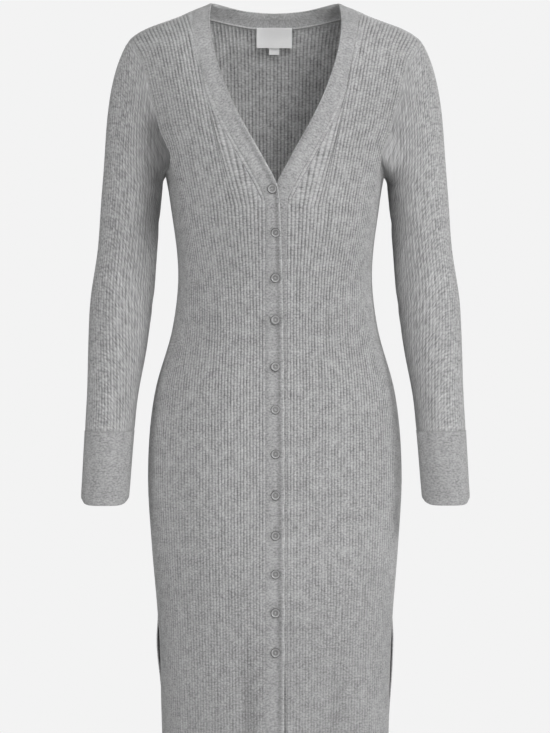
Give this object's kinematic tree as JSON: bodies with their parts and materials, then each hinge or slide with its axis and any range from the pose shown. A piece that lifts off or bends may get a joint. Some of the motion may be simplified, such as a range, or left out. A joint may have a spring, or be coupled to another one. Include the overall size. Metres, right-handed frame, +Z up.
{
  "type": "ribbed button-through sweater dress",
  "caption": "Long ribbed knit dress, filled out as worn and hollow, with long sleeves, a V-neck band down both fronts, a row of buttons and side slits.",
  "frame": {"origin": "centre of the garment between the two shoulder seams, 25 mm below the neck end of the shoulder, where the wearer's shoulders hold it", "axes": "+Z up along the garment, -Y towards its front, +X towards the wearer's left"},
  "size_m": [0.4978, 0.2369, 1.201],
  "materials": {
    "rib_knit": "matt grey heather rib knit, fine gauge",
    "plain_knit": "matt grey heather plain knit",
    "button": "grey pearl-like plastic, slightly glossy",
    "label_tape": "woven tape, satin"
  },
  "bodies": {
    "root": {"front_left": "rib_knit", "front_right": "rib_knit", "back": "rib_knit", "band_left": "plain_knit", "band_right": "plain_knit", "sleeve_left": "rib_knit", "sleeve_right": "rib_knit", "cuff_left": "plain_knit", "cuff_right": "plain_knit", "button_01": "button", "button_02": "button", "button_03": "button", "button_04": "button", "button_05": "button", "button_06": "button", "button_07": "button", "button_08": "button", "button_09": "button", "button_10": "button", "button_11": "button", "button_12": "button", "neck_label": "label_tape", "label_tab": "label_tape"}
  },
  "joints": []
}
